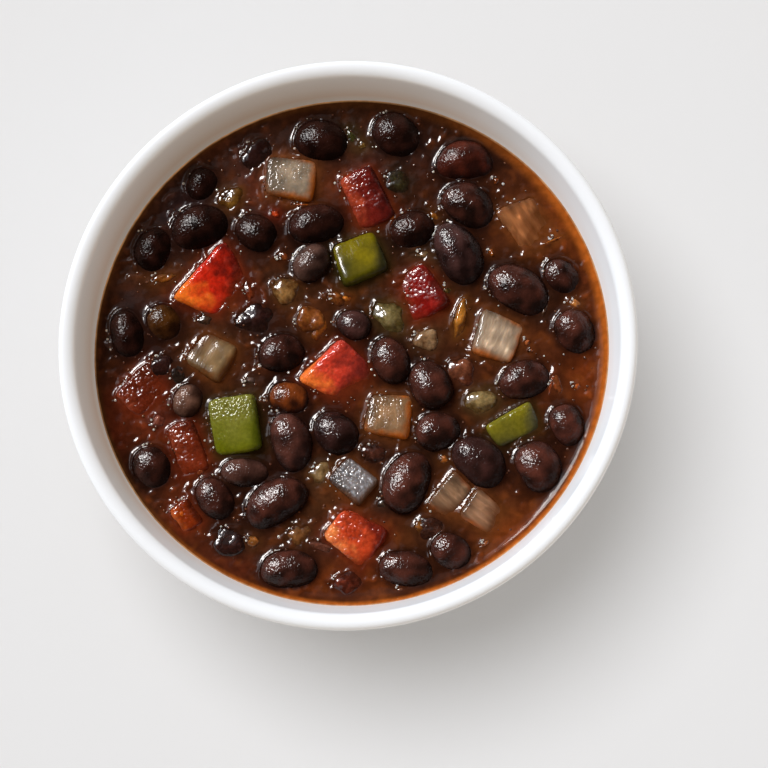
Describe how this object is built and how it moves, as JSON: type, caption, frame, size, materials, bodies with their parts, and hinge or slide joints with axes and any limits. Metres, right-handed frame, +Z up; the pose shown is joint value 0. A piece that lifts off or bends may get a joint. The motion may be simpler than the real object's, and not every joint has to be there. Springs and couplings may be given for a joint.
{
  "type": "bowl of bean soup",
  "caption": "Footed white bowl of thick dark bean soup, with whole beans and diced onion, tomato and green pepper standing out of the broth",
  "frame": {"origin": "centre of the underside of the foot ring", "axes": "+Z up out of the bowl; +Y points to the top of the picture, +X to its right"},
  "size_m": [0.1294, 0.1294, 0.0562],
  "materials": {
    "glaze": "gloss white glaze",
    "broth": "wet, dark brown",
    "bean_skin": "wet, near black",
    "onion": "wet, translucent beige",
    "tomato": "wet, red",
    "green_pepper": "wet, yellow-green"
  },
  "bodies": {
    "root": {"bowl": "glaze", "soup": "broth", "bean_01": "bean_skin", "bean_02": "bean_skin", "bean_03": "bean_skin", "bean_04": "bean_skin", "bean_05": "bean_skin", "bean_06": "bean_skin", "bean_07": "bean_skin", "bean_08": "bean_skin", "bean_09": "bean_skin", "bean_10": "bean_skin", "bean_11": "bean_skin", "bean_12": "bean_skin", "bean_13": "bean_skin", "bean_14": "bean_skin", "bean_15": "bean_skin", "bean_16": "bean_skin", "bean_17": "bean_skin", "bean_18": "bean_skin", "bean_19": "bean_skin", "bean_20": "bean_skin", "bean_21": "bean_skin", "bean_22": "bean_skin", "bean_23": "bean_skin", "bean_24": "bean_skin", "bean_25": "bean_skin", "bean_26": "bean_skin", "bean_27": "bean_skin", "bean_28": "bean_skin", "bean_29": "bean_skin", "bean_30": "bean_skin", "bean_31": "bean_skin", "bean_32": "bean_skin", "bean_33": "bean_skin", "bean_34": "bean_skin", "bean_35": "bean_skin", "bean_36": "bean_skin", "bean_37": "bean_skin", "bean_38": "bean_skin", "onion_1": "onion", "onion_2": "onion", "onion_3": "onion", "onion_4": "onion", "onion_5": "onion", "onion_6": "onion", "onion_7": "onion", "onion_8": "onion", "tomato_1": "tomato", "tomato_2": "tomato", "tomato_3": "tomato", "tomato_4": "tomato", "tomato_5": "tomato", "tomato_6": "tomato", "tomato_7": "tomato", "tomato_8": "tomato", "pepper_1": "green_pepper", "pepper_2": "green_pepper", "pepper_3": "green_pepper"}
  },
  "joints": []
}
